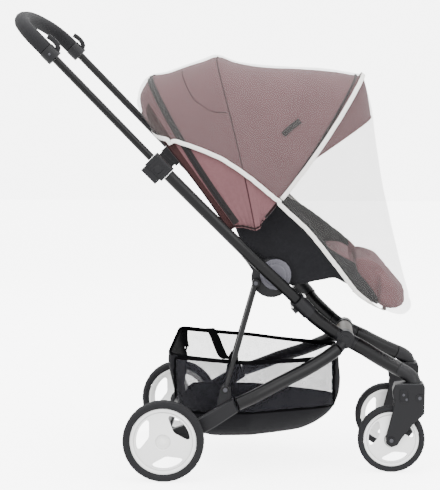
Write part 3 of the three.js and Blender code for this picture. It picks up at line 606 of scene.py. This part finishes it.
def hoodLine(v, count=60, low=0.0, high=1.0, lift=1.6, surface=None, last=None):
    surface, last = surface or hood, last or hoodLast
    line = []
    for k in range(count + 1):
        u = low + (high - low) * k / count
        line.append(surface(v, u) + outward(surface, v, u, last) * lift)
    return line


def zipLine(count, low, high, lift=0.0):
    line = []
    for k in range(count + 1):
        u = low + (high - low) * k / count
        v = hoodTop["zipRow"] + 0.45 * math.exp(-min(u, 1 - u) * 10)
        out = outward(hood, v, u, hoodLast)
        line.append((hood(v, u) + out * lift, out))
    return line


def nearestOnHood(x, z, low=6.0):
    spots = [(low + i * 0.05, 0.01 + j * 0.01) for i in range(int((hoodLast - low) / 0.05)) for j in range(49)]
    return min(spots, key=lambda spot: (hood(*spot).x - x) ** 2 + (hood(*spot).z - z) ** 2)


def makeHood():
    rows, columns = hoodTop["rows"], hoodTop["columns"]
    shell = sheetPiece("hoodCanopy", hood, 0, hoodLast - 0.05, rows, columns, hoodTop["thickness"],
                       ("hoodCloth", "hoodBackPaintedShade"), ("hood_shell",), hoodPucker)
    # the lower sides of the hood's back band take the darker copy of the pink as painted shade
    for index, polygon in enumerate(shell.data.polygons):
        v, u = hoodLast * (index // columns) / rows, (index % columns) / columns
        low = min(u, 1 - u) < hoodTop["paintedShadeDepth"]
        polygon.material_index = 1 if v < hoodTop["zipRow"] - 0.75 and low else 0
    pipe = hoodTop["piping"]
    pipePiece("hoodHoopSeam", hoodLine(6, lift=0.2), pipe * 0.8, "hoodSeamCloth")
    pipePiece("hoodFrontEdge", hoodLine(hoodLast - 0.22, low=0.01, high=0.99, lift=0.2), pipe * 1.9,
                           "hoodEdgeCloth")
    pipePiece("hoodBackEdge", hoodLine(0.04, low=0.01, high=0.99, lift=0), pipe * 1.3,
                           "hoodEdgeCloth")
    for side, u in (("right", 0.004), ("left", 0.996)):
        edge = [hood(v / 6, u) for v in range(1, 6 * hoodLast)]
        pipePiece("hoodLowerEdge_" + side, edge, pipe * 1.3, "hoodEdgeCloth")
    ventSpots = [nearestOnHood(x, z, 1.2) for x, z in hoodTop["vent"]]
    for side, word in ((1, "right"), (-1, "left")):
        vent = []
        for k in range(31):
            v, u = between([list(spot) for spot in ventSpots], 5 * k / 30)
            u = u if side == 1 else 1 - u
            vent.append(hood(v, u) + outward(hood, v, u, hoodLast) * 0.3)
        pipePiece("hoodVentSeam_" + word, vent, pipe * 0.7, "hoodSeamCloth")
    band = ribbonPiece("hoodZipBand", zipLine(66, 0.01, 0.99), hoodTop["zipWidth"], 1.2, 1.6, "greyTape",
                       ("hood_zip_band",))
    coil = [spot for spot, out in zipLine(180, 0.03, 0.97, 3.0)]
    pipePiece("hoodZipCoil", coil, 1.5, "blackPlastic", sides=8, ridges=2)
    tagEnds = (nearestOnHood(*hoodTop["tagFrom"]), nearestOnHood(*hoodTop["tagTo"]))
    tagSpots = [[a + (b - a) * k / 8 for a, b in zip(*tagEnds)] for k in range(9)]
    tagStations = [(hood(*spot), outward(hood, *spot, hoodLast, 0.2, 0.05)) for spot in tagSpots]
    ribbonPiece("hoodTag", tagStations, hoodTop["tagWidth"], 1.0, 1.9, "greyTape",
                             ("hood_tag",))
    visorLast = len(visorRows) - 1
    brim = sheetPiece("hoodVisorCloth", visor, 0, visorLast, 10, 60, hoodTop["thickness"], "hoodCloth",
                      ("hood_visor",))
    edgeLine = hoodLine(visorLast - 0.02, low=0.01, high=0.99, lift=0.5, surface=visor, last=visorLast)
    brimEdge = pipePiece("visorEdge", edgeLine, pipe * 1.3, "hoodCloth")


makeHood()
print("hood is made")

# Seat, its pad and the leg rest: remeshed, swollen with Cloth, then seamed

seat = {"bucketVoxel": 5.0, "padVoxel": 5.0, "pressure": 4.0, "padCap": 5, "legCap": 8,
        "sideBulge": 17, "restReach": 7, "pinkFrom": 367, "lipFrom": 420, "lipAbove": 462, "lipHalf": 140}
bucketSeams = [  # each seam is a line where its function of x, y and z is zero
    lambda x, y, z: (x - 246) * 0.8 + (z - 560) * 0.35,
    lambda x, y, z: (x - 330) * 0.55 + (z - 500) * 0.83,
]
padSeams = [
    lambda x, y, z: abs(y) - 78,
    lambda x, y, z: z - 560,
    lambda x, y, z: z - 660,
    lambda x, y, z: x - 340 if z < 520 else 99,
]
legSeams = [lambda x, y, z: abs(y) - 96, lambda x, y, z: x - z - 62]


def inMillimetres(point):
    return point.x / mm - rearAxleX, point.y / mm, point.z / mm


def shiftPoints(piece, shift):
    for vertex in piece.data.vertices:
        vertex.co += Vector(shift(*inMillimetres(vertex.co))) * mm


def seatSideBulge(x, y, z):
    near = max(0, min(1, (240 - x) / 40)) * max(0, min(1, (abs(y) - 60) / 60))
    return (-seat["sideBulge"] * near * math.exp(-((z - 528) / 42) ** 2), 0, 0)


def legRestReach(x, y, z):
    return (-seat["restReach"] * max(0, min(1, (480 - x) / 40)), 0, 0)


def easeMesh(piece, rounds):
    work = bmesh.new()
    work.from_mesh(piece.data)
    for step in range(rounds):
        bmesh.ops.smooth_vert(work, verts=work.verts, factor=0.5, use_axis_x=True, use_axis_y=True, use_axis_z=True)
    work.to_mesh(piece.data)
    work.free()


def pressSeams(piece, seams, depth, width, wrinkle):
    normals = [vertex.normal.copy() for vertex in piece.data.vertices]
    for vertex, normal in zip(piece.data.vertices, normals):
        x, y, z = inMillimetres(vertex.co)
        press = sum(crease(along(x, y, z), 0, width) for along in seams)
        fold = wrinkle * noise.noise(Vector((x * 0.03, y * 0.012, z * 0.03)))
        vertex.co += normal * (fold - depth * min(press, 1)) * mm


def makeSeat():
    blackAndPink = ("blackCloth", "pinkPadCloth")
    bucket = copyNode("seatBucket", "seat_bucket", blackAndPink, seat["bucketVoxel"])
    easeMesh(bucket, 4)
    pressSeams(bucket, bucketSeams, 1.4, 2.6, 2.2)
    shiftPoints(bucket, seatSideBulge)
    for polygon in bucket.data.polygons:
        x, y, z = inMillimetres(polygon.center)
        onLip = x > seat["lipFrom"] and z > seat["lipAbove"] and abs(y) < seat["lipHalf"]
        polygon.material_index = 1 if onLip else 0
    modify(bucket, "SUBSURF", levels=1, render_levels=1)
    pad = copyNode("seatPadding", "seat_pad", blackAndPink, seat["padVoxel"])
    easeMesh(pad, 3)
    swell(pad, seat["pressure"], seat["padCap"])
    pressSeams(pad, padSeams, 2.2, 3.2, 0.9)
    for polygon in pad.data.polygons:
        polygon.material_index = 1 if inMillimetres(polygon.center)[0] > seat["pinkFrom"] else 0
    modify(pad, "SUBSURF", levels=1, render_levels=1)
    rest = copyNode("legRestPad", "leg_rest", "pinkPadCloth", seat["padVoxel"])
    shiftPoints(rest, legRestReach)
    easeMesh(rest, 4)
    swell(rest, seat["pressure"], seat["legCap"])
    pressSeams(rest, legSeams, 1.8, 3.2, 0.9)
    modify(rest, "SUBSURF", levels=1, render_levels=1)


makeSeat()
print("seat is made")

# Basket. Ring rows give, in mm: rear and front x, rear and front z, half width, squareness.

basketRings = [
    [6, 396, 281, 262, 214, 9],
    [4, 398, 256, 236, 213, 9],
    [12, 401, 214, 200, 209, 9],
    [22, 398, 170, 164, 201, 8],
    [34, 380, 126, 126, 186, 6.5],
    [52, 350, 94, 98, 160, 5],
    [84, 322, 77, 82, 130, 4],
]
basket = {
    "sag": 9, "taper": 0.53, "thickness": 1.4, "around": 144, "down": 30, "rearCorner": 1.7, "dent": 1.6,
    "bottom": (227, 0, 78), "rim": 3.4, "binding": 2.6, "flat": (0.62, 0.86), "area": 0.34,
    "window": (22, 386, 0.35, 3.6), "windowFrom": 60,  # x from and to, ring row from and to, least distance sideways
}
strap = {
    "width": 22, "thickness": 2, "flat": (0.022, 0.43),
    "route": [[81, 212, 275], [96, 130, 269], [112, 10, 262], [127, -110, 261], [141, -210, 270]],
}


def basketPoint(v, turn, inset=0.0):
    row = between(basketRings, v)
    rearX, frontX, rearZ, frontZ, half, square = row
    cos, sin = math.cos(turn), math.sin(turn)
    square *= basket["rearCorner"] if cos < 0 else 1
    radius = (abs(cos) ** square + abs(sin) ** square) ** (-1 / square)
    share = cos * radius
    narrowing = 1 - basket["taper"] * max(share + 0.1, 0) / 1.1
    sag = basket["sag"] * (1 - share * share) * max(0, 1 - v)
    return Vector(((frontX + rearX) / 2 + share * ((frontX - rearX) / 2 - inset),
                   sin * radius * (half * narrowing - inset),
                   (frontZ + rearZ) / 2 + share * (frontZ - rearZ) / 2 - sag))


def onBasketSide(x, v, side):
    turns = [math.pi * (0.06 + 0.88 * k / 160) * side for k in range(161)]
    best = min(turns, key=lambda turn: abs(basketPoint(v, turn).x - x))
    return basketPoint(v, best, 0.4)


def windowOutline(side, steps=20):
    left, right, top, bottom = basket["window"]
    corners = [(left, top), (right, top), (right, bottom), (left, bottom)]
    outline = []
    for (x, v), (nextX, nextV) in zip(corners, corners[1:] + corners[:1]):
        for k in range(steps):
            outline.append(onBasketSide(x + (nextX - x) * k / steps, v + (nextV - v) * k / steps, side))
    return outline


def makeBasket():
    around, down, last = basket["around"], basket["down"], len(basketRings) - 1
    points, faces, meshFaces = [], [], set()
    for i in range(down + 1):
        v = last * i / down
        for j in range(around):
            turn = 2 * math.pi * j / around
            spot = basketPoint(v, turn, 1)
            dent = basket["dent"] * noise.noise(Vector((spot.x * 0.012, spot.y * 0.012, spot.z * 0.02)))
            inward = Vector((math.cos(turn), math.sin(turn), 0))
            points.append(place(*(spot - inward * (1.0 + abs(dent)) * min(1, v))))
    faces = gridFaces(down, around, True)
    left, right, top, low = basket["window"]
    for index in range(len(faces)):
        v = last * (index // around + 0.5) / down
        spot = basketPoint(v, 2 * math.pi * (index % around + 0.5) / around)
        if abs(spot.y) > basket["windowFrom"] and left < spot.x < right and top < v < low:
            meshFaces.add(index)
    centre = len(points)
    points.append(place(*basket["bottom"]))
    bottom = down * around
    faces += [(bottom + j, bottom + (j + 1) % around, centre) for j in range(around)]
    bag = makePiece("basketBag", points, faces, ("basketCloth", "basketMesh"), ("basket",))
    for index, polygon in enumerate(bag.data.polygons):
        polygon.material_index = 1 if index in meshFaces else 0
    modify(bag, "SOLIDIFY", thickness=basket["thickness"] * mm, offset=-1)
    trims = [pipePiece("basketRim", [basketPoint(0.06, 2 * math.pi * k / 96, 2) for k in range(96)], basket["rim"],
                       "blackTape", ring=True)]
    for number, side in ((1, 1), (2, -1)):
        trims.append(pipePiece("basketWindowBinding_%d" % number, windowOutline(side), basket["binding"],
                               "blackTape", ring=True, sides=8))
    stations = [(Vector(between(strap["route"], 4 * k / 40)), Vector((0, 0, 1))) for k in range(41)]
    tape = ribbonPiece("basketStrap", stations, strap["width"], strap["thickness"], 0, "blackTape",
                       ("basket_strap",), ripple=0.2)


makeBasket()
print("basket is made")

# Wheels: foam tyre with a cut tread, dished white rim with three windows, cap and nut

wheels = [
    {"name": "rear", "x": 0, "y": 270, "radius": 92.5, "width": 36, "rim": 75.5, "hub": 17},
    {"name": "front", "x": 517, "y": 146, "radius": 77.5, "width": 32, "rim": 63.5, "hub": 15},
]
wheelLook = {  # windows as shares of the rim's radius, angles in radians
    "inner": 0.44, "outer": 0.8, "halfAngle": 0.64, "firstAngle": 0.72, "windowDepth": 7,
    "segments": 144, "rings": 26, "facets": 28, "facetSteps": 6, "groove": 1.0, "floorFrom": 4.3, "floorTo": 5.1,
}


def windowCuts(turn, share):
    for k in range(3):
        off = (turn - wheelLook["firstAngle"] - 2 * math.pi * k / 3 + math.pi) % (2 * math.pi) - math.pi
        if abs(off) < wheelLook["halfAngle"]:
            part = off / wheelLook["halfAngle"]
            inner = wheelLook["inner"] + (wheelLook["outer"] - wheelLook["inner"]) * part * part * 0.75
            if inner < share < wheelLook["outer"]:
                return True
    return False


def rimDish(wheel, radius):
    half, edge, hub = wheel["width"] / 2, wheel["rim"], wheel["hub"]
    if radius < hub:
        return half * (0.66 - 0.04 * (radius / hub) ** 2)
    share = (radius - hub) / (edge * 0.84 - hub)
    return half * 0.6 * (1 - share) + 3 * share


def makeWheel(wheel, side, sideName):
    centre = (wheel["x"], wheel["y"], wheel["radius"] * math.cos(math.pi / wheelLook["facets"]))
    makeDish(wheel, centre, side, sideName)
    half, edge, hub = wheel["width"] / 2, wheel["rim"], wheel["hub"]
    ring = [(edge * 0.84, 3.2), (edge * 0.87, 4.2), (edge * 0.90, half * 0.52), (edge * 0.925, half * 0.6),
            (edge * 0.985, half * 0.61), (edge, half * 0.57), (edge, -half * 0.57), (edge * 0.98, -half * 0.6),
            (edge * 0.93, -half * 0.55), (edge * 0.89, -3), (edge * 0.84, -2.5), (edge * 0.84, 3.2)]
    turnedPiece("wheelBand_%s_%s" % (wheel["name"], sideName), ring, centre, side, "rimPlastic")
    boss = [(0.01, half * 0.74), (hub * 0.3, half * 0.73), (hub * 0.55, half * 0.7), (hub * 0.6, half * 0.66),
            (hub * 0.92, half * 0.64), (hub, half * 0.58), (hub, -half * 0.9), (hub * 0.9, -half), (0.01, -half)]
    turnedPiece("wheelHub_%s_%s" % (wheel["name"], sideName), boss, centre, side, "rimPlastic",
                segments=40)
    makeTyre(wheel, centre, side, sideName)


def makeDish(wheel, centre, side, sideName):
    segments, rings = wheelLook["segments"], wheelLook["rings"]
    start, reach = wheel["hub"] * 0.96, wheel["rim"] * 0.86 - wheel["hub"] * 0.96
    points, faces = [], []
    for i in range(rings + 1):
        radius = start + reach * i / rings
        for j in range(segments):
            turn = 2 * math.pi * j / segments
            points.append(place(centre[0] + radius * math.cos(turn), side * (centre[1] + rimDish(wheel, radius)),
                                centre[2] + radius * math.sin(turn)))
    for index, face in enumerate(gridFaces(rings, segments, True)):
        i, j = divmod(index, segments)
        radius = start + reach * (i + 0.5) / rings
        if not windowCuts(2 * math.pi * (j + 0.5) / segments, radius / wheel["rim"]):
            faces.append(face)
    dish = makePiece("wheelDish_%s_%s" % (wheel["name"], sideName), points, faces, "rimPlastic",
                     ("%s_rim_%s" % (wheel["name"], sideName),))
    easeOpenEdges(dish, 6)
    modify(dish, "SOLIDIFY", thickness=wheelLook["windowDepth"] * mm, offset=-1 if side < 0 else 1)
    smoothEdges(dish, 0.9, 50)


def makeTyre(wheel, centre, side, sideName):
    half, edge, outer = wheel["width"] / 2, wheel["rim"], wheel["radius"]
    facetTurn = 2 * math.pi / wheelLook["facets"]
    segments = wheelLook["facets"] * wheelLook["facetSteps"]

    def tread(k, radius, out):
        if radius < outer - 0.5:
            return 0
        turn = 2 * math.pi * k / segments
        beyond = (turn + facetTurn / 2) % facetTurn - facetTurn / 2
        flat = outer * math.cos(facetTurn / 2) / math.cos(beyond) - outer
        onFloor = wheelLook["floorFrom"] <= turn <= wheelLook["floorTo"]  # flat and uncut where it stands
        if onFloor:
            return flat - 0.02
        return flat * 0.5 - 0.02 - (wheelLook["groove"] if k % wheelLook["facetSteps"] == 3 else 0)

    wall, bead = outer - edge, edge + 0.3
    profile = [(bead, -half * 0.62), (bead + wall * 0.12, -half * 0.8), (bead + wall * 0.45, -half),
               (bead + wall * 0.6, -half), (bead + wall * 0.84, -half * 0.86), (outer, -half * 0.5),
               (outer, -half * 0.17), (outer - 1.2, -half * 0.12), (outer - 1.2, half * 0.12), (outer, half * 0.17),
               (outer, half * 0.5), (bead + wall * 0.84, half * 0.86), (bead + wall * 0.6, half),
               (bead + wall * 0.45, half), (bead + wall * 0.12, half * 0.8), (bead, half * 0.62),
               (bead, -half * 0.62)]
    turnedPiece("wheelTyre_%s_%s" % (wheel["name"], sideName), profile, centre, side, "tyreFoam",
                ("%s_tyre_%s" % (wheel["name"], sideName),), segments=segments, tread=tread)


def easeOpenEdges(piece, rounds):
    work = bmesh.new()
    work.from_mesh(piece.data)
    edges = [vertex for vertex in work.verts if any(edge.is_boundary for edge in vertex.link_edges)]
    for step in range(rounds):
        target = {}
        for vertex in edges:
            near = [edge.other_vert(vertex).co for edge in vertex.link_edges if edge.is_boundary]
            if len(near) == 2:
                target[vertex] = vertex.co * 0.5 + (near[0] + near[1]) * 0.25
        for vertex, spot in target.items():
            vertex.co = spot
    bmesh.ops.delete(work, geom=[vertex for vertex in work.verts if not vertex.link_faces], context="VERTS")
    work.to_mesh(piece.data)
    work.free()


for wheel in wheels:
    for side, sideName in ((1, "left"), (-1, "right")):
        makeWheel(wheel, side, sideName)
print("wheels are made")

# Frame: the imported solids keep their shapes, with eased edges, coats and small fittings

nodeFinish = {
    "foamGrip": ["handle_grip"],
    "blackPlastic": ["handle_collar", "tube_clamp", "fold_knuckle", "frame_hub", "axle_block", "pivot_housing",
                     "front_fork", "leg_elbow", "foot_board"],
    "greyPlastic": ["pivot_cover"],
    "greigePlastic": ["hub_cross_tube"],
    "tubeCoat": ["upper_tube", "main_tube", "lower_tube", "front_leg", "lower_member", "rear_strut", "rear_axle"],
}
easedEdge = {"foamGrip": 3, "blackPlastic": 1.2, "greyPlastic": 1.2, "greigePlastic": 1, "tubeCoat": 1}
fittings = {  # a cap is x, z, radius and the distances from the middle where it starts and ends
    "forkBolts": [(544, 183, 3.2, 169, 171.2), (551, 172, 3.2, 169, 171.2), (517, 77, 4.5, 172, 174.5),
                  (581, 176, 4.2, 171, 173.8)],
    "forkPanel": [(538.5, 166), (552, 166), (554, 170), (554, 191), (551, 195), (539, 195), (536, 191), (536, 170)],
    "forkPanelOut": 170.4, "forkPanelPipe": 1.3,
    "axleCap": (0, 92, 7.5, 280, 285.5),
    "hubRings": [(411, 300.6, 17.5, 108, 113.2), (411, 300.6, 9, 108, 116.4)],
    "pivotRing": (250, 458, 31, 158, 165.3), "pivotRim": (240, 450, 43.5, 150, 157.9),
    "strutBolts": [(139, 206, 5, 250, 253.6), (205.5, 439.5, 5, 174, 177.6)],
    "collarScrew": (-251, 960, 3, 262, 264.2),
    "knuckle": (302, 161, 397), "knuckleAlong": (-30, 21.4, 33), "knuckleRadius": 18.6, "knuckleBand": 3.2,
    "knuckleTurn": 1.15,
    "ribs": (-17, -10, -3, 4, 11, 18), "ribCentre": (-8.5, 261.6, 711.5), "ribFrom": -17, "ribLength": 31,
    "ribPipe": 1.1,
}


def finishNode(name, finish):
    node = cadNodes[name]
    node.data.materials.clear()
    node.data.materials.append(materials[finish])
    node.data.polygons.foreach_set("use_smooth", [True] * len(node.data.polygons))
    dropNormals(node)
    modify(node, "WELD", merge_threshold=1e-5)
    smoothEdges(node, easedEdge[finish], 38, 3)


def finishFrame():
    for finish, names in nodeFinish.items():
        for name in names:
            for node in (name, name + "_left", name + "_right"):
                if node in cadNodes:
                    finishNode(node, finish)


def capPiece(name, cap, side, finish, ease=0.6, segments=40):
    x, z, radius, low, high = cap
    profile = [(0.01, high), (radius - ease, high), (radius - ease * 0.3, high - ease * 0.3), (radius, high - ease),
               (radius, low), (0.01, low)]
    return turnedPiece(name, profile, (x, 0, z), side, finish, segments=segments)


def knuckleRoute(side):
    x, y, z = fittings["knuckle"]
    alongX, alongY, alongZ = fittings["knuckleAlong"]
    along = Vector((alongX, side * alongY, alongZ)).normalized()
    inner = (Vector((0, -side, 0)) - along * along.dot(Vector((0, -side, 0)))).normalized()
    route = []
    for step in range(17):
        turn = math.pi * (step / 16 - 0.5) * fittings["knuckleTurn"]
        radial = inner * math.cos(turn) + along.cross(inner) * math.sin(turn)
        route.append(Vector((x, side * y, z)) + radial * fittings["knuckleRadius"])
    return route


def ribRoute(along, side):
    x, y, z = fittings["ribCentre"]
    diagonal = math.sqrt(0.5)
    route = []
    for step in range(9):
        across = fittings["ribFrom"] + fittings["ribLength"] * step / 8
        route.append((x + diagonal * (along + across), side * y, z - diagonal * (along - across)))
    return route


def makeFittings():
    for side, word in ((1, "left"), (-1, "right")):
        for number, cap in enumerate(fittings["forkBolts"]):
            capPiece("forkBolt_%d_%s" % (number, word), cap, side, "boltSteel")
        panel = [(x, side * fittings["forkPanelOut"], z) for x, z in fittings["forkPanel"]]
        pipePiece("forkPanelEdge_" + word, panel, fittings["forkPanelPipe"], "blackPlastic",
                  ring=True, sides=8)
        pipePiece("knuckleBand_" + word, knuckleRoute(side), fittings["knuckleBand"], "rimPlastic",
                  sides=8)
        capPiece("axleCap_" + word, fittings["axleCap"], side, "rimPlastic")
        for number, cap in enumerate(fittings["hubRings"]):
            capPiece("hubRing_%d_%s" % (number, word), cap, side, "blackPlastic")
        capPiece("pivotRing_" + word, fittings["pivotRing"], side, "greyPlastic", 1.2, 64)
        capPiece("pivotRim_" + word, fittings["pivotRim"], side, "blackPlastic", 1.5, 72)
        for number, cap in enumerate(fittings["strutBolts"]):
            capPiece("strutBolt_%d_%s" % (number, word), cap, side, "boltSteel")
        capPiece("collarScrew_" + word, fittings["collarScrew"], side, "boltSteel")
        for number, along in enumerate(fittings["ribs"]):
            pipePiece("clampRib_%d_%s" % (number, word), ribRoute(along, side), fittings["ribPipe"], "blackPlastic",
                      sides=6)


finishFrame()
makeFittings()
print("frame is finished")
